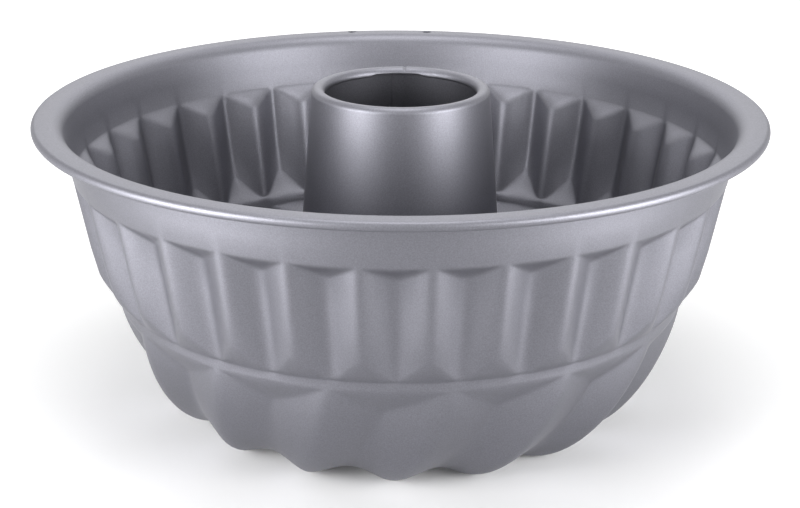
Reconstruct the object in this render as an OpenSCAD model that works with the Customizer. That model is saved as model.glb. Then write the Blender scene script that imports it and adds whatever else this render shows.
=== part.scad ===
// Fluted tube pan: a pressed sheet-metal ring mould with two tiers of flutes
// and a separate centre tube crimped into its base. Millimetres, Z up, the
// table at z = 0 and the axis of the pan on the Z axis.

/* [Pan] */
// Outside diameter over the rolled edge
rim_d = 241; // [200:1:300]
// Height of the flat rim over the table
rim_h = 103.3; // [90:0.1:130]
// Height of the centre tube over the table
tube_h = 110.6; // [95:0.1:140]
// Thickness of the sheet
sheet_t = 0.8; // [0.5:0.1:1.2]

/* [Rim] */
// Width from the wall's outside to the rolled edge
rim_w = 8.9; // [7:0.1:14]
// Inside bend between the wall and the flat rim
rim_bend = 4.2; // [2:0.1:5]
// Height of the rolled edge
roll_h = 3; // [2.8:0.1:6]
// Inside bend of the rolled edge
roll_bend = 0.5; // [0.3:0.1:0.6]
// Diameter of the two hanging holes
hang_hole_d = 3; // [2:0.1:3.2]
// Distance between the hanging holes
hang_hole_gap = 29.5; // [16:0.5:32]
// Shift of the pair of holes along X
hang_hole_shift = -4.6; // [-8:0.1:8]
// Distance from the outer edge in to the line of the holes
hang_hole_inset = 4.5; // [4.2:0.1:5]

/* [Wall] */
// Height of the plain band below the rim
band_h = 18; // [12:0.5:24]
// Lean of the wall from upright, in degrees
wall_lean = 10.9; // [5:0.1:16]
// Number of upper flutes, twice the number of lower ones
upper_flutes = 32; // [20:2:32]
// Depth of the upper flutes
upper_depth = 4.8; // [3:0.1:6]
// Height of the arch that ends a groove under the band
arch_h = 4.2; // [3:0.1:7]
// Height of the slope that ends a rib above the ring
foot_h = 5.5; // [4:0.1:10]
// Height of the ring's upper edge over the table
ring_h = 46; // [35:0.5:55]
// Height of the plain ring between the tiers
ring_w = 3.7; // [2:0.1:6]
// Turn of all the flutes about the axis, in degrees
flute_turn = -0.6; // [-5:0.1:5]

/* [Base] */
// Diameter of the circle of crests that the pan stands on
stand_d = 124.6; // [110:0.1:140]
// Depth of the lower flutes
lower_depth = 4.4; // [3:0.1:6]
// Turn of a lower flute on its way from the ring to the stand, in degrees
swirl = 13.6; // [0:0.1:25]
// How much of each crest is pressed flat where it stands
stand_flat = 0.3; // [0.25:0.05:0.5]
// Height of the seat's underside over the table
seat_h = 5; // [3:0.5:10]
// Width of the flat seat round the tube
seat_w = 5; // [4:0.5:8]

/* [Tube] */
// Outside diameter just under the lip
tube_top_d = 58.8; // [50:0.1:62]
// Lean of the tube from upright, in degrees
tube_lean = 4.5; // [2:0.1:6]
// Inside bends of the lip
lip_bend = 1; // [0.5:0.1:1.5]
// Flat between the two bends of the lip
lip_flat = 0.6; // [0.2:0.1:2]
// Clearance between the tube and the hole of the seat
seat_gap = 0.1; // [0.05:0.05:0.3]
// Width of the foot flange under the seat
foot_w = 3; // [2:0.5:4]
// Height of the crimped bead over the seat
bead_h = 1.6; // [1.2:0.1:3]

/* [Hidden] */
$fn = 96;

overrun = 1;

rim_r = rim_d / 2;
wall_top_r = rim_r - rim_w;
band_z = rim_h - band_h;
ring_r = wall_r(ring_h) - upper_depth;
ring_low = [ring_r - ring_w * tan(wall_lean), ring_h - ring_w];
stand_r = stand_d / 2;

tube_top_r = tube_top_d / 2;
tube_low_r = tube_r(seat_h);
seat_hole_r = tube_low_r + seat_gap;
seat_r = seat_hole_r + seat_w;

lower_flutes = upper_flutes / 2;
pitch = 360 / lower_flutes;

// Places of the eight columns of one lower flute, and how far each stands out
// of its groove. Two upper flutes share these columns.
upper_shares = [0, 0.065, 0.25, 0.435, 0.5, 0.565, 0.75, 0.935];
upper_rise_shares = [0, 0.07, 1, 0.07, 0, 0.07, 1, 0.07];
lower_shares = [0, 0.08, 0.23, 0.4, 0.5, 0.6, 0.77, 0.92];
lower_rise_shares = [1, 0.97, 0.55, 0.1, 0, 0.1, 0.55, 0.97];
columns = len(upper_shares);

// The fluted wall is one mesh whose two ends lie inside the sheet of the band
// and of the seat, where it is thinner by these shares of the sheet.
bury_share = 0.3;
buried = 1.2;
join = 0.3;

// How far down its arch, its slope, its curve or its way in each row lies
arch_shares = [0.14, 0.4, 0.7, 1];
arch_rib_shares = [0.14, 0.24, 0.32, 0.4];
slope_shares = [0, 0.5, 1];
slope_inset_shares = [0, 0.36, 1];
curve_steps = [9, 19, 30, 41, 52, 63, 75, 87];
curve_power_shares = [0.935, 1.474];
way_in_shares = [0.08, 0.36, 0.66, 1];
swirl_power_share = 1.3;
// Turn that a lower flute already has at the ring, as a share of the swirl
swirl_lead_share = 0.08;
// Part of the curve over which a lower groove gets its depth, and what is left
// of the depth at the stand
deepen_share = 0.2;
stand_depth_share = 0.82;

function wall_r(z) = wall_top_r - (rim_h - z) * tan(wall_lean);
function tube_r(z) = tube_top_r + (tube_h - z) * tan(tube_lean);
function arc(centre, r, from, to, steps = 8) =
    [for (i = [0:steps]) let (a = from + (to - from) * i / steps) centre + r * [cos(a), sin(a)]];
function reversed(line) = [for (i = [len(line) - 1:-1:0]) line[i]];

// Unit vector from the outside of the sheet to its inside at point i of a line
// that runs from the rim down and in to the seat
function inward(line, i) =
    let (step = line[min(i + 1, len(line) - 1)] - line[max(i - 1, 0)])
    [step[1], -step[0]] / norm(step);

// Rib and groove outlines of the upper tier, with the buried start
function start_line() =
    [for (z = [band_z + buried, band_z + join]) [wall_r(z), z]];
function arch_line(shares, depth) =
    [for (s = shares) let (z = band_z - arch_h * s)
        [wall_r(z) - depth * pow(sin(90 * s), 2), z]];
function slope_line() =
    [for (i = [0:len(slope_shares) - 1]) let (z = ring_h + foot_h * (1 - slope_shares[i]))
        [wall_r(z) - upper_depth * slope_inset_shares[i], z]];
function groove_end_line() =
    [for (i = [0:len(slope_shares) - 1])
        let (z = ring_h + join * (len(slope_shares) - 1 - i)) [wall_r(z) - upper_depth, z]];

// Rib outline of the lower tier: a rounded curve from the ring to the stand,
// then a gentle rise in to the seat
function curve_point(a) = [
    stand_r + (ring_low[0] - stand_r) * pow(cos(a), curve_power_shares[0]),
    ring_low[1] * (1 - pow(sin(a), curve_power_shares[1])) - (a > 0 ? stand_flat * sin(a) : 0)
];
function way_in_point(s) = [
    stand_r + (seat_r + buried - stand_r) * s,
    seat_h * (1 - cos(180 * s)) / 2 - stand_flat * pow(cos(90 * s), 2)
];
lower_rib = concat([ring_low], [for (a = curve_steps) curve_point(a)],
                   [for (s = way_in_shares) way_in_point(s)]);
curve_rows = len(curve_steps) + 1;

// Length of the lower outline up to each row, as a share of ring to stand
lower_runs = [for (i = 0, run = 0; i < len(lower_rib);
                   run = run + norm(lower_rib[min(i + 1, len(lower_rib) - 1)] - lower_rib[i]),
                   i = i + 1) run];
run_shares = [for (run = lower_runs) run / lower_runs[curve_rows - 1]];
function groove_depth(i) =
    let (way_in = max(0, i - curve_rows + 1), s = way_in > 0 ? way_in_shares[way_in - 1] : 0)
    lower_depth * min(1, run_shares[i] / deepen_share)
    * (1 + (stand_depth_share - 1) * min(1, run_shares[i])) * pow(cos(90 * s), 2);
lower_groove = [for (i = [0:len(lower_rib) - 1])
    lower_rib[i] + groove_depth(i) * inward(lower_rib, i)];
end_line = [for (r = [seat_r - join, seat_r - buried]) [r, seat_h]];

ribs = concat(start_line(), arch_line_on_rib(), slope_line(), lower_rib, end_line);
grooves = concat(start_line(), arch_line(arch_shares, upper_depth), groove_end_line(),
                 lower_groove, end_line);
function arch_line_on_rib() =
    [for (s = arch_rib_shares) let (z = band_z - arch_h * s) [wall_r(z), z]];
rows = len(ribs);
upper_rows = len(start_line()) + len(arch_shares) + len(slope_shares);

function is_buried(row) = row < len(start_line()) || row >= rows - len(end_line);
function row_turn(row) =
    let (i = min(row - upper_rows, len(run_shares) - 1))
    row < upper_rows ? 0
    : -swirl * (swirl_lead_share + pow(run_shares[i], swirl_power_share));

// Point of the fluted wall: side 0 is its outside, side 1 its inside
function wall_point(row, flute, column, side) =
    let (upper = row < upper_rows,
         rise = upper ? upper_rise_shares[column] : lower_rise_shares[column],
         place = upper ? upper_shares[column] : lower_shares[column],
         skin_share = is_buried(row) ? (side == 0 ? bury_share : 1 - bury_share) : side,
         rib = ribs[row] + sheet_t * skin_share * inward(ribs, row),
         groove = grooves[row] + sheet_t * skin_share * inward(grooves, row),
         p = groove + (rib - groove) * rise,
         a = -90 + flute_turn + pitch * (flute + 0.5 + place) + row_turn(row))
    [p[0] * cos(a), p[0] * sin(a), max(0, p[1])];

module fluted_wall() {
    round = lower_flutes * columns;
    points = [for (side = [0, 1], row = [0:rows - 1], k = [0:round - 1])
        wall_point(row, floor(k / columns), k % columns, side)];
    function at(side, row, k) = (side * rows + row) * round + k % round;
    function quad(a, b, c, d) = [[a, b, c], [a, c, d]];
    skins = [for (row = [0:rows - 2], k = [0:round - 1]) each concat(
        quad(at(0, row, k), at(0, row, k + 1), at(0, row + 1, k + 1), at(0, row + 1, k)),
        quad(at(1, row, k), at(1, row + 1, k), at(1, row + 1, k + 1), at(1, row, k + 1)))];
    ends = [for (k = [0:round - 1]) each concat(
        quad(at(0, 0, k), at(1, 0, k), at(1, 0, k + 1), at(0, 0, k + 1)),
        quad(at(0, rows - 1, k), at(0, rows - 1, k + 1),
             at(1, rows - 1, k + 1), at(1, rows - 1, k)))];
    polyhedron(points = points, faces = concat(skins, ends));
}

// Band, flat rim and rolled edge, revolved
module rim() {
    bend_r = rim_bend + sheet_t;
    roll_r = roll_bend + sheet_t;
    skin_r = wall_top_r - sheet_t / cos(wall_lean);
    bend_centre = [skin_r + bend_r * (1 / cos(wall_lean) - tan(wall_lean)), rim_h - bend_r];
    roll_top = [rim_r - roll_r, rim_h - roll_r];
    roll_low = [rim_r - roll_r, rim_h - roll_h + roll_r];
    cup_side = concat([[wall_r(band_z) - sheet_t / cos(wall_lean), band_z]],
                      arc(bend_centre, bend_r, 180 - wall_lean, 90),
                      arc(roll_top, roll_r, 90, 0), arc(roll_low, roll_r, 0, -90));
    under_side = concat([[wall_r(band_z), band_z]],
                        arc(bend_centre, rim_bend, 180 - wall_lean, 90),
                        arc(roll_top, roll_bend, 90, 0), arc(roll_low, roll_bend, 0, -90));
    rotate_extrude() polygon(concat(cup_side, reversed(under_side)));
}

module hang_holes() {
    for (side = [-1, 1])
        translate([hang_hole_shift + side * hang_hole_gap / 2, rim_r - hang_hole_inset,
                   rim_h - sheet_t - overrun])
            cylinder(d = hang_hole_d, h = sheet_t + 2 * overrun);
}

module seat() {
    translate([0, 0, seat_h]) difference() {
        cylinder(r = seat_r, h = sheet_t);
        translate([0, 0, -overrun]) cylinder(r = seat_hole_r, h = sheet_t + 2 * overrun);
    }
}

module fluted_shell() {
    color([0.47, 0.46, 0.5]) union() {
        difference() {
            rim();
            hang_holes();
        }
        fluted_wall();
        seat();
    }
}

// Places on the tube's lip, in degrees from the back towards +X
lip_gap_from = -23;
lip_gap_to = 16;
lap_from = -6.4;
lap_to = 3;
// How deep the lapped edge of the tube's sheet starts and ends, in sheets
lap_shares = [0.5, 1.8];

module turned(from, to) {
    rotate([0, 0, 90 - to]) rotate_extrude(angle = to - from) children();
}

module centre_tube() {
    bend_r = lip_bend + sheet_t;
    skin = sheet_t / cos(tube_lean);
    bend_z = tube_h - bend_r;
    outer_centre = [tube_r(bend_z) - bend_r / cos(tube_lean), bend_z];
    inner_centre = outer_centre - [lip_flat, 0];
    foot_z = seat_h - sheet_t;
    foot_r = seat_hole_r + foot_w;
    bead_z = seat_h + sheet_t;
    wall = concat([[tube_r(foot_z) - skin, foot_z], [foot_r, foot_z], [foot_r, seat_h],
                   [tube_low_r, seat_h], [tube_low_r, bead_z],
                   [seat_hole_r + sheet_t, bead_z], [seat_hole_r + sheet_t, bead_z + bead_h / 2],
                   [tube_r(bead_z + bead_h), bead_z + bead_h]],
                  arc(outer_centre, bend_r, tube_lean, 90), arc(inner_centre, bend_r, 90, 180),
                  arc(inner_centre, lip_bend, 180, 90), arc(outer_centre, lip_bend, 90, tube_lean));
    color([0.5, 0.49, 0.53]) union() {
        difference() {
            rotate_extrude() polygon(wall);
            turned(lip_gap_from, lip_gap_to)
                translate([overrun, bend_z - overrun])
                    square([inner_centre[0] + lip_flat / 2 - overrun, bend_r + 2 * overrun]);
        }
        turned(lap_from, lap_to)
            polygon([for (z = [seat_h, bend_z], share = z == seat_h ? lap_shares : reversed(lap_shares))
                         [tube_r(z) - share * skin, z]]);
    }
}

fluted_shell();
centre_tube();
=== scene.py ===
import bpy
import numpy as np
from mathutils import Matrix


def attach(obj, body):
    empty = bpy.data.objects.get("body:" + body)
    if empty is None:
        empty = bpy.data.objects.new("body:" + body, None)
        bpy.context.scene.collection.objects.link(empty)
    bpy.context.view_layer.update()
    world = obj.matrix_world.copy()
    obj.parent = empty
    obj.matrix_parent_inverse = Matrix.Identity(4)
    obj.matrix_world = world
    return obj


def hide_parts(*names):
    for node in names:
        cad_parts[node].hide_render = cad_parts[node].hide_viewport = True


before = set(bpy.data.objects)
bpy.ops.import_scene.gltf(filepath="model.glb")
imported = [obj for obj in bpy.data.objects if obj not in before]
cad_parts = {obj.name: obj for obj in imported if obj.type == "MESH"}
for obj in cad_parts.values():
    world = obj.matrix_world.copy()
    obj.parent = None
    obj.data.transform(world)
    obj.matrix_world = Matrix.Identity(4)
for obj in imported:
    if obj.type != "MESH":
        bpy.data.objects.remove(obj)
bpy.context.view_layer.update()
mm = 0.001   # the pieces are worked out in millimetres, the studio in metres
print("frame loaded")


# small helpers for the surfaces

def rad(degrees):
    return np.radians(degrees)


def arc(centre, radius, start, end, count):
    # points on a circle: centre + radius * (cos a, sin a), with a in even steps
    a = rad(np.linspace(start, end, count))
    return np.column_stack([centre[0] + radius * np.cos(a), centre[1] + radius * np.sin(a)])


def between(ends, share):
    return ends[0] + (ends[1] - ends[0]) * share


def inward(line):
    # unit normals of an outline [radius, height], from the outside of the sheet to its inside
    step = np.gradient(line, axis=0)
    normal = np.column_stack([step[:, 1], -step[:, 0]])
    return normal / np.linalg.norm(normal, axis=1)[:, None]


def wave(place, crestShare, grooveShare):
    # height of a flute at its place: 1 on the crest at whole numbers, 0 in the groove between
    # them, straight flanks, and a parabola over each share of the pitch
    u = np.abs((place + 0.5) % 1 - 0.5) * 2
    height = 1 - u
    height = np.where(u < crestShare, 1 - crestShare / 2 - u**2 / (2 * crestShare), height)
    height = np.where(1 - u < grooveShare, grooveShare / 2 + (1 - u)**2 / (2 * grooveShare), height)
    low, high = grooveShare / 2, 1 - crestShare / 2
    return (height - low) / (high - low)


def closedSkin(name, points):
    # a grid of points [row, column, xyz] whose rows and columns both run round and meet
    rows, columns = points.shape[:2]
    r, c = np.meshgrid(np.arange(rows), np.arange(columns), indexing="ij")
    nextRow, nextColumn = (r + 1) % rows, (c + 1) % columns
    faces = np.stack([r * columns + c, r * columns + nextColumn,
                      nextRow * columns + nextColumn, nextRow * columns + c], axis=-1)
    mesh = bpy.data.meshes.new(name)
    mesh.from_pydata((points * mm).reshape(-1, 3), [], faces.reshape(-1, 4).tolist())
    mesh.polygons.foreach_set("use_smooth", np.ones(len(mesh.polygons), bool))
    piece = bpy.data.objects.new(name, mesh)
    bpy.context.scene.collection.objects.link(piece)
    return piece


# the fluted shell, in millimetres and degrees; an edge is the width over which a crease is
# rounded, a crest or groove is a part of a flute's pitch, and a share is a part of its depth

shell = {
    "rimRadius": 120.45, "rimHeight": 103.3, "sheet": 0.8,
    "rimWidth": 8.85, "rimBend": 4.2, "rollHeight": 3.0, "rollBend": 0.7,
    "bandHeight": 18.0, "wallLean": 10.9,
    "upperFlutes": 32, "upperDepth": 4.8, "upperCrest": 0.22, "upperGroove": 0.27,
    "archHeight": 4.0, "archEdge": 2.6, "leastArch": 0.6,
    "footHeight": 6.7, "footPower": 0.82, "footEdge": 4.0, "leastFoot": 1.0,
    "bendEdge": 1.3, "ringEdge": 1.4, "leastEdge": 0.4, "edgeShare": 0.8,
    "ringHeight": 46.0, "ringWidth": 3.7, "ringDepth": 5.05, "fluteTurn": -0.6,
    "lowerDepth": 4.4, "startLength": 9.8, "leastStart": 1.2, "startRest": 1.6,
    "startEdge": 0.9, "leastStartEdge": 0.05, "startEdgeShare": 0.6,
    "lowerCrest": (0.14, 0.26), "lowerGroove": (0.06, 0.5),    # beside the ring, at the stand
    "standRadius": 62.3, "curvePowers": (0.935, 1.474),
    "blendFrom": 0.2, "standDepthShare": 0.82, "swirl": 13.6, "swirlPower": 1.3, "swirlLead": 1.1,
    "seatHeight": 5.0, "seatHoleRadius": 37.8, "seatWidth": 5.0,
    "holeDiameter": 3.0, "holeGap": 29.5, "holeShift": -4.6, "holeLine": 116.0,
    "holeSides": 48, "punchLength": 3,
    "columnsPerFlute": 16, "gather": 0.45,   # gather draws the columns to the creases
}


def wallRadius(height):
    lean = np.tan(rad(shell["wallLean"]))
    return shell["rimRadius"] - shell["rimWidth"] - (shell["rimHeight"] - height) * lean


def lesser(a, b, edge):
    # the smaller of two values; where they are closer than the edge, the crease is rounded
    near = np.maximum(edge - np.abs(a - b), 0)
    return np.minimum(a, b) - near**2 / (4 * np.maximum(edge, 1e-6))


def greater(a, b, edge):
    return -lesser(-a, -b, edge)


def rimLine():
    # underside of the sheet: round the inside of the rolled edge, in under the flat rim, and
    # down the bend to the band
    s = shell
    roll = s["rollBend"] + s["sheet"]
    edge, top = s["rimRadius"] - roll, s["rimHeight"] - roll
    low = s["rimHeight"] - s["rollHeight"] + roll
    bend = s["rimBend"] + s["sheet"]
    lean = rad(s["wallLean"])
    skin = wallRadius(s["rimHeight"]) - s["sheet"] / np.cos(lean)
    bendCentre = (skin + bend * (1 / np.cos(lean) - np.tan(lean)), s["rimHeight"] - bend)
    return np.vstack([
        arc((edge, low), s["rollBend"], -90, 0, 5),
        arc((edge, top), s["rollBend"], 0, 90, 5),
        arc(bendCentre, s["rimBend"], 90, 180 - s["wallLean"], 8)])


def upperTier(place):
    # a cone set in by the flutes; each groove starts below an arch, each rib ends above the ring
    # in a slanting foot, and the ring is a strip that leans out, so the inset is the lesser of
    # groove and arch, the greater of that and the foot, and the lesser of that and the strip;
    # the rows follow the creases round every flute
    s = shell
    deep = s["upperDepth"]
    depth = deep * (1 - wave(place - 0.5, s["upperCrest"], s["upperGroove"]))
    band, ring = s["rimHeight"] - s["bandHeight"], s["ringHeight"]
    archEnd = band - np.maximum(s["archHeight"] * depth / deep, s["leastArch"])
    footRise = s["footHeight"] * (1 - depth / s["ringDepth"])**(1 / s["footPower"])
    footStart = ring + np.maximum(footRise, s["leastFoot"])
    level = [np.full_like(depth, h) for h in np.linspace(rimLine()[-1, 1], band + 0.8, 3)[1:]]
    level += [np.full_like(depth, band + h) for h in (0.35, 0.1)]
    level += [between((band, archEnd), t) for t in (0.06, 0.2, 0.42, 0.64, 0.84, 1.0)]
    level += [archEnd - h for h in (0.35, 0.8, 1.5)]
    level += [between((archEnd - 1.5, footStart + 2.0), t) for t in (0.33, 0.67)]
    level += [footStart + h for h in (2.0, 1.1, 0.5)]
    level += [between((footStart, ring), t) for t in (0.0, 0.16, 0.38, 0.6, 0.8, 1.0)]
    level += [np.full_like(depth, ring - h) for h in (0.3, 0.8)]
    level += [np.full_like(depth, ring - s["ringWidth"] + h) for h in (1.0, 0.4)]
    level = np.array(level)
    arch = greater((band - level) * deep / s["archHeight"], 0, s["bendEdge"])
    rise = (level - ring) / s["footHeight"]
    foot = s["ringDepth"] * (1 - np.sign(rise) * np.abs(rise)**s["footPower"])
    down = np.clip((ring - level) / s["ringWidth"], 0, 1)
    strip = s["ringDepth"] - (s["ringDepth"] - deep) * down
    grooveEdge = s["edgeShare"] * depth
    ribEdge = s["leastEdge"] + s["edgeShare"] * (deep - depth)
    inset = lesser(depth[None, :], arch, np.minimum(s["archEdge"], grooveEdge)[None, :])
    inset = greater(inset, foot, np.minimum(s["footEdge"], ribEdge)[None, :])
    inset = lesser(inset, strip, np.minimum(s["ringEdge"], ribEdge)[None, :])
    return np.stack([wallRadius(level) - inset, level], axis=-1)


def lowerTier(place):
    # the rib is a rounded curve whose radius shrinks as a power of the cosine and whose height
    # drops as a power of the sine, then a gentle rise in to the seat; the grooves are set in
    # square to it, and each starts below the ring in a slanting facet
    s = shell
    low = s["ringHeight"] - s["ringWidth"]
    start = wallRadius(low) - s["upperDepth"]
    steps, seatSteps = 400, 60
    a = rad(90 * np.linspace(0, 1, steps))
    curve = np.column_stack([
        s["standRadius"] + (start - s["standRadius"]) * np.cos(a)**s["curvePowers"][0],
        low * (1 - np.sin(a)**s["curvePowers"][1])])
    way = np.linspace(0, 1, seatSteps)[1:]
    seatRadius = s["seatHoleRadius"] + s["seatWidth"]
    curve = np.vstack([curve, np.column_stack([
        s["standRadius"] + (seatRadius - s["standRadius"]) * way,
        s["seatHeight"] * (1 - np.cos(np.pi * way)) / 2])])
    run = np.concatenate([[0], np.cumsum(np.linalg.norm(np.diff(curve, axis=0), axis=1))])
    stand, end = run[steps - 1], run[-1]
    normal = inward(curve)
    groove = 1 - wave(place / 2, s["lowerCrest"][0], s["lowerGroove"][0])
    crease = np.maximum(s["startLength"] * groove, s["leastStart"])
    rest = crease + s["startRest"]
    rows = [crease * t for t in (0.2, 0.38, 0.58, 0.78, 0.93)]
    rows += [crease, crease + 0.25, crease + 0.7, rest]
    rows += [between((rest, stand), t) for t in np.linspace(0, 1, 23)[1:]]
    rows += [np.full_like(crease, h) for h in np.linspace(stand, end, 9)[1:]]
    rows = np.array(rows)
    blend = np.clip((rows / stand - s["blendFrom"]) / (1 - s["blendFrom"]), 0, 1)
    crestShare, grooveShare = between(s["lowerCrest"], blend), between(s["lowerGroove"], blend)
    full = s["lowerDepth"] * (1 - wave(place[None, :] / 2, crestShare, grooveShare))
    full = full * (1 + (s["standDepthShare"] - 1) * np.minimum(1, rows / stand))
    full = full * np.cos(np.pi / 2 * np.clip((rows - stand) / (end - stand), 0, 1))**2
    edge = np.minimum(s["startEdge"], s["leastStartEdge"] + s["startEdgeShare"] * full)
    inset = lesser(full, rows * s["lowerDepth"] / s["startLength"], edge)
    points = np.stack([np.interp(rows, run, curve[:, axis])
                       + inset * np.interp(rows, run, normal[:, axis]) for axis in (0, 1)],
                      axis=-1)
    turn = -s["swirlLead"] - s["swirl"] * (rows / stand)**s["swirlPower"]
    return points, turn


def smoothStep(x):
    x = np.clip(x, 0, 1)
    return x * x * (3 - 2 * x)


def shellSurface():
    # the outside is the rim line, the upper tier, the lower tier and the seat one below another;
    # the inside is the same surface moved in by the sheet's thickness, square to it
    s = shell
    pitch = 360 / s["upperFlutes"]
    count = s["upperFlutes"] * s["columnsPerFlute"]
    place = np.arange(count) / s["columnsPerFlute"]
    place = place - s["gather"] * np.sin(4 * np.pi * place) / (4 * np.pi)
    rim = np.repeat(rimLine()[:, None, :], count, axis=1)
    lower, turn = lowerTier(place)
    seat = np.array([[s["seatHoleRadius"] + s["seatWidth"] * t, s["seatHeight"]] for t in (0.5, 0)])
    seat = np.repeat(seat[:, None, :], count, axis=1)
    outline = np.concatenate([rim, upperTier(place), lower, seat])
    turns = np.zeros(outline.shape[:2])
    start = len(outline) - len(lower) - len(seat)
    turns[start - 2:start] = -s["swirlLead"]
    turns[start:-len(seat)] = turn
    turns[-len(seat):] = turn[-1]
    angle = rad(-90 + s["fluteTurn"] + pitch * (place[None, :] + 1) + turns)
    radius, height = outline[..., 0], np.maximum(outline[..., 1], 0)
    outside = np.stack([radius * np.cos(angle), radius * np.sin(angle), height], axis=-1)
    along = np.gradient(outside, axis=0)
    around = np.roll(outside, -1, axis=1) - np.roll(outside, 1, axis=1)
    square = np.cross(around, along)
    square /= np.linalg.norm(square, axis=-1, keepdims=True)
    inside = outside + s["sheet"] * square
    inside[-1, :, :2] = outside[-1, :, :2]
    return np.concatenate([outside, inside[::-1]])


def punchHoles(piece):
    s = shell
    for side in (-1, 1):
        bpy.ops.mesh.primitive_cylinder_add(
            vertices=s["holeSides"], radius=s["holeDiameter"] / 2 * mm,
            depth=s["punchLength"] * mm,
            location=((s["holeShift"] + side * s["holeGap"] / 2) * mm,
                      s["holeLine"] * mm, s["rimHeight"] * mm))
        punch = bpy.context.object
        cut = piece.modifiers.new("hole", "BOOLEAN")
        cut.operation, cut.solver, cut.object = "DIFFERENCE", "EXACT", punch
        bpy.context.view_layer.objects.active = piece
        bpy.ops.object.modifier_apply(modifier=cut.name)
        bpy.data.objects.remove(punch)


shellPiece = closedSkin("shellPressing", shellSurface())
punchHoles(shellPiece)
print("shell made:", len(shellPiece.data.polygons), "faces")


# the centre tube, in millimetres and degrees; gap, lap and nick are placed in degrees round
# from the back

tube = {
    "height": 110.6, "topRadius": 29.4, "lean": 4.5, "sheet": 0.8,
    "lipBend": 1.3, "lipFlat": 0.2, "lipEnd": 200.0, "gapEnd": 176.0,
    "gapFrom": -26.5, "gapTo": 20.5, "gapSoft": 8.0,
    "lapFrom": -6.4, "lapTo": 3.0, "lapFromSoft": 0.6, "lapToSoft": 3.0, "lapRise": 0.45,
    "nickDepth": 0.4, "nickHalf": 0.7,
    "footWidth": 3.0, "footBevel": 0.3, "seatGap": 0.1, "beadHeight": 1.6, "columns": 720,
}


def tubeRadius(height):
    return tube["topRadius"] + (tube["height"] - height) * np.tan(rad(tube["lean"]))


def tubeSurface():
    # the outline runs up the outside, over the lip and down the inside; the lip's curl ends
    # early in the gap at the back, and the inside stands in by the lap beside the seam
    t, s = tube, shell
    column = np.arange(t["columns"])
    back = column * 360 / t["columns"] - 180    # degrees from the back, towards +X
    inGap = smoothStep((back - t["gapFrom"]) / t["gapSoft"])
    inGap *= smoothStep((t["gapTo"] - back) / t["gapSoft"])
    curl = between((t["lipEnd"], t["gapEnd"]), inGap)
    bend = t["lipBend"] + t["sheet"]
    lean = rad(t["lean"])
    bendHeight = t["height"] - bend
    outer = np.array([tubeRadius(bendHeight) - bend / np.cos(lean), bendHeight])
    innerCentre = outer - np.array([t["lipFlat"], 0])
    skin = t["sheet"] / np.cos(lean)
    footHeight, beadLow = s["seatHeight"] - t["sheet"], s["seatHeight"] + s["sheet"]
    foot, neck = s["seatHoleRadius"] + t["footWidth"], s["seatHoleRadius"] - t["seatGap"]
    beadHalf, bevel = t["beadHeight"] / 2, t["footBevel"]
    beadCentre = (s["seatHoleRadius"] + t["sheet"] - beadHalf + bevel, beadLow + beadHalf)
    wallHeights = np.linspace(beadLow + t["beadHeight"], bendHeight, 12)[:-1]
    fixed = np.vstack([
        [[tubeRadius(footHeight) - skin, footHeight], [foot - bevel, footHeight],
         [foot, footHeight + bevel], [foot, s["seatHeight"]], [neck, s["seatHeight"]],
         [neck, beadLow]],
        arc(beadCentre, beadHalf, -60, 60, 7),
        np.column_stack([tubeRadius(wallHeights), wallHeights]),
        arc(outer, bend, t["lean"], 90, 9)])
    grid = np.repeat(fixed[:, None, :], t["columns"], axis=1)
    share = np.linspace(0, 1, 10)[:, None]
    over = rad(90 + (curl[None, :] - 90) * share)
    lipOut = innerCentre + bend * np.stack([np.cos(over), np.sin(over)], axis=-1)
    under = over[::-1]
    lipIn = innerCentre + t["lipBend"] * np.stack([np.cos(under), np.sin(under)], axis=-1)
    innerBend = arc(outer, t["lipBend"], 90, t["lean"], 7)
    innerFixed = np.vstack([
        innerBend,
        [[tubeRadius(h) - skin, h] for h in np.linspace(bendHeight, footHeight, 8)[1:-1]]])
    innerGrid = np.repeat(innerFixed[:, None, :], t["columns"], axis=1)
    lap = smoothStep((back - t["lapFrom"]) / t["lapFromSoft"])
    lap *= smoothStep((t["lapTo"] - back) / t["lapToSoft"])
    innerGrid[len(innerBend):, :, 0] -= t["lapRise"] * lap[None, :]
    rows = np.concatenate([grid, lipOut, lipIn, innerGrid])
    nick = np.exp(-((back - t["lapTo"]) / t["nickHalf"])**2)
    high = smoothStep((rows[..., 1] - bendHeight) / bend)
    rows[..., 1] -= t["nickDepth"] * nick[None, :] * high
    angle = rad(90 - back)
    radius, height = rows[..., 0], rows[..., 1]
    return np.stack([radius * np.cos(angle), radius * np.sin(angle), height], axis=-1)


tubePiece = closedSkin("tubePressing", tubeSurface())
print("tube made:", len(tubePiece.data.polygons), "faces")


# the satin coating, the same on both pieces

coating = {
    "colour": (0.196, 0.196, 0.221), "roughness": 0.5, "metallic": 1.0,
    "grainScale": 2600.0, "grainDetail": 2, "grainFrom": 0.3, "grainTo": 0.7,
    "grainColour": 0.12, "grainBump": 0.05, "grainHeight": 0.1,
}


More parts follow.
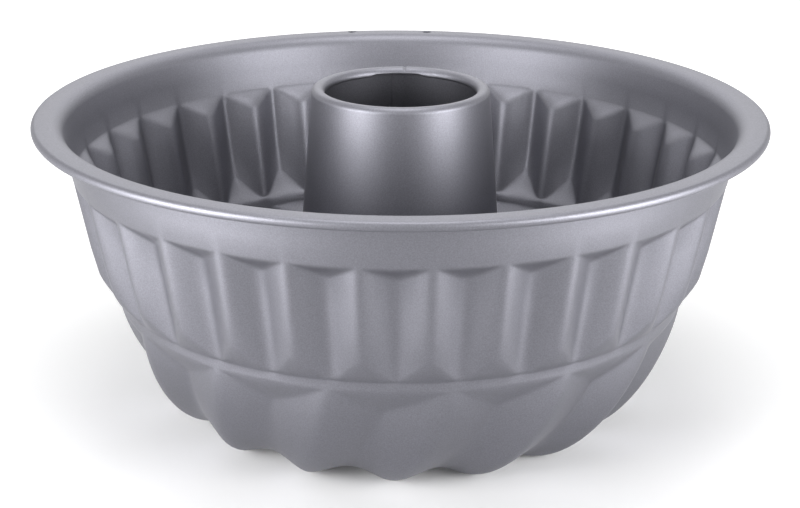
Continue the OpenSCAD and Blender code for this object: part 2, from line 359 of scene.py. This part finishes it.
def satinCoating(name, look):
    material = bpy.data.materials.new(name)
    material.use_nodes = True
    nodes, links = material.node_tree.nodes, material.node_tree.links
    nodes.clear()
    output = nodes.new("ShaderNodeOutputMaterial")
    shader = nodes.new("ShaderNodeBsdfPrincipled")
    shader.inputs["Metallic"].default_value = look["metallic"]
    shader.inputs["Roughness"].default_value = look["roughness"]
    place = nodes.new("ShaderNodeTexCoord")
    grain = nodes.new("ShaderNodeTexNoise")
    grain.inputs["Scale"].default_value = look["grainScale"]
    grain.inputs["Detail"].default_value = look["grainDetail"]
    tint = nodes.new("ShaderNodeValToRGB")
    dark, light = tint.color_ramp.elements
    dark.position, light.position = look["grainFrom"], look["grainTo"]
    dark.color = [c * (1 - look["grainColour"]) for c in look["colour"]] + [1]
    light.color = [c * (1 + look["grainColour"]) for c in look["colour"]] + [1]
    bump = nodes.new("ShaderNodeBump")
    bump.inputs["Strength"].default_value = look["grainBump"]
    bump.inputs["Distance"].default_value = look["grainHeight"] * mm
    links.new(place.outputs["Object"], grain.inputs["Vector"])
    links.new(grain.outputs["Fac"], tint.inputs["Fac"])
    links.new(tint.outputs["Color"], shader.inputs["Base Color"])
    links.new(grain.outputs["Fac"], bump.inputs["Height"])
    links.new(bump.outputs["Normal"], shader.inputs["Normal"])
    links.new(shader.outputs["BSDF"], output.inputs["Surface"])
    return material


shellPiece.data.materials.append(satinCoating("shellCoating", coating))
tubePiece.data.materials.append(satinCoating("tubeCoating", coating))

for piece, node, slot in ((shellPiece, "fluted_shell", "shell_coating"),
                          (tubePiece, "centre_tube", "tube_coating")):
    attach(piece, "root")
    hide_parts(node)
print("coating done")


# floor, light and camera, in metres and degrees

studio = {
    "floorSize": 6.0, "floorColour": 0.85, "floorLift": 0.88, "liftPlace": (0, -0.35, 0),
    "liftFrom": 0.2, "liftTo": 0.8, "skyFill": 0.0, "skySeen": 0.98,
    # place, aim, width and height in metres, and watts
    "lamps": {"leftNear": ((-0.2206, -0.1724, 0.1), (0.0, 0.0, 0.1), 0.2, 0.2, 0.6),
              "rightNear": ((0.2348, -0.1525, 0.1), (0.0, 0.0, 0.1), 0.15, 0.2, 0.43),
              "leftBox": ((-0.4213, -0.3535, 0.2), (0.0, 0.0, 0.12), 0.3, 0.16, 1.8),
              "rightBox": ((0.4334, -0.3386, 0.2), (0.0, 0.0, 0.12), 0.33, 0.16, 1.95),
              "backBox": ((0.0, 0.85, 0.62), (0.0, 0.0, 0.08), 1.0, 0.5, 2.15),
              "topBox": ((0.0, 0.0, 1.0), (0.0, 0.0, 0.0), 0.6, 0.6, 4.3)},
    "cameraPlace": (0.0, -0.5699, 0.2539), "cameraPitch": 19.52, "cameraYaw": 0.003,
    "cameraRoll": 0.277, "lens": 79.8, "sensor": 36.0,   # lens and sensor in millimetres
    "nearlyUpright": 0.99,   # above this share of its length, a lamp's direction is taken as up
}


def lightPathMix(nodes, links, seen, unseen):
    # shows seen to camera, glossy and transmission rays, and unseen to every other ray
    path = nodes.new("ShaderNodeLightPath")
    either = nodes.new("ShaderNodeMath")
    either.operation = "MAXIMUM"
    links.new(path.outputs["Is Camera Ray"], either.inputs[0])
    links.new(path.outputs["Is Glossy Ray"], either.inputs[1])
    both = nodes.new("ShaderNodeMath")
    both.operation = "MAXIMUM"
    links.new(either.outputs[0], both.inputs[0])
    links.new(path.outputs["Is Transmission Ray"], both.inputs[1])
    mix = nodes.new("ShaderNodeMixShader")
    links.new(both.outputs[0], mix.inputs[0])
    links.new(unseen, mix.inputs[1])
    links.new(seen, mix.inputs[2])
    return mix.outputs[0]


def makeWorld():
    world = bpy.data.worlds.new("studioWorld")
    bpy.context.scene.world = world
    world.use_nodes = True
    nodes, links = world.node_tree.nodes, world.node_tree.links
    nodes.clear()
    white, fill = nodes.new("ShaderNodeBackground"), nodes.new("ShaderNodeBackground")
    white.inputs["Color"].default_value = (1, 1, 1, 1)
    fill.inputs["Color"].default_value = (1, 1, 1, 1)
    white.inputs["Strength"].default_value = studio["skySeen"]
    fill.inputs["Strength"].default_value = studio["skyFill"]
    output = nodes.new("ShaderNodeOutputWorld")
    mixed = lightPathMix(nodes, links, white.outputs[0], fill.outputs[0])
    links.new(mixed, output.inputs["Surface"])


def makeFloor():
    half = studio["floorSize"] / 2
    mesh = bpy.data.meshes.new("studioFloor")
    mesh.from_pydata([(-half, -half, 0), (half, -half, 0), (half, half, 0), (-half, half, 0)],
                     [], [(0, 1, 2, 3)])
    floor = bpy.data.objects.new("studioFloor", mesh)
    bpy.context.scene.collection.objects.link(floor)
    material = bpy.data.materials.new("paleFloor")
    material.use_nodes = True
    nodes, links = material.node_tree.nodes, material.node_tree.links
    nodes.clear()
    paper = nodes.new("ShaderNodeBsdfDiffuse")
    paper.inputs["Color"].default_value = [studio["floorColour"]] * 3 + [1]
    # the floor is lifted to white by its distance from a place in front of the object, and keeps
    # the shadow round the stand
    lift = nodes.new("ShaderNodeEmission")
    place, distance = nodes.new("ShaderNodeTexCoord"), nodes.new("ShaderNodeVectorMath")
    distance.operation = "DISTANCE"
    distance.inputs[1].default_value = studio["liftPlace"]
    links.new(place.outputs["Object"], distance.inputs[0])
    reach = nodes.new("ShaderNodeMapRange")
    reach.interpolation_type = "SMOOTHSTEP"
    reach.inputs["From Min"].default_value = studio["liftFrom"]
    reach.inputs["From Max"].default_value = studio["liftTo"]
    reach.inputs["To Max"].default_value = studio["floorLift"]
    links.new(distance.outputs["Value"], reach.inputs["Value"])
    links.new(reach.outputs["Result"], lift.inputs["Strength"])
    both = nodes.new("ShaderNodeAddShader")
    links.new(paper.outputs[0], both.inputs[0])
    links.new(lift.outputs[0], both.inputs[1])
    output = nodes.new("ShaderNodeOutputMaterial")
    mixed = lightPathMix(nodes, links, both.outputs[0], paper.outputs[0])
    links.new(mixed, output.inputs["Surface"])
    mesh.materials.append(material)


def makeLights():
    # each lamp is a rectangle that faces the point it is aimed at
    for name, (place, aim, width, height, watts) in studio["lamps"].items():
        light = bpy.data.lights.new(name, "AREA")
        light.shape, light.size, light.size_y, light.energy = "RECTANGLE", width, height, watts
        lamp = bpy.data.objects.new(name, light)
        away = np.array(place, float) - np.array(aim, float)
        away /= np.linalg.norm(away)
        upright = abs(away[2]) > studio["nearlyUpright"]
        side = np.cross((0, 1, 0) if upright else (0, 0, 1), away)
        side /= np.linalg.norm(side)
        lamp.location = place
        lamp.rotation_euler = Matrix([side, np.cross(away, side), away]).transposed().to_euler()
        lamp.visible_camera = False
        bpy.context.scene.collection.objects.link(lamp)


def makeCamera():
    # the camera looks ahead along +Y, turned by yaw, tipped down by pitch and rolled
    s = studio
    yaw, pitch, roll = rad(s["cameraYaw"]), rad(s["cameraPitch"]), rad(s["cameraRoll"])
    ahead = np.array([np.sin(yaw) * np.cos(pitch), np.cos(yaw) * np.cos(pitch), -np.sin(pitch)])
    right = np.array([np.cos(yaw), -np.sin(yaw), 0])
    up = np.cross(right, ahead)
    rolledRight = right * np.cos(roll) + up * np.sin(roll)
    rolledUp = -right * np.sin(roll) + up * np.cos(roll)
    data = bpy.data.cameras.new("photoCamera")
    data.lens, data.sensor_width = s["lens"], s["sensor"]
    camera = bpy.data.objects.new("photoCamera", data)
    camera.location = s["cameraPlace"]
    camera.rotation_euler = Matrix([rolledRight, rolledUp, -ahead]).transposed().to_euler()
    bpy.context.scene.collection.objects.link(camera)
    bpy.context.scene.camera = camera


makeWorld()
makeFloor()
makeLights()
makeCamera()
bpy.context.scene.view_settings.view_transform = "Standard"
print("studio ready")
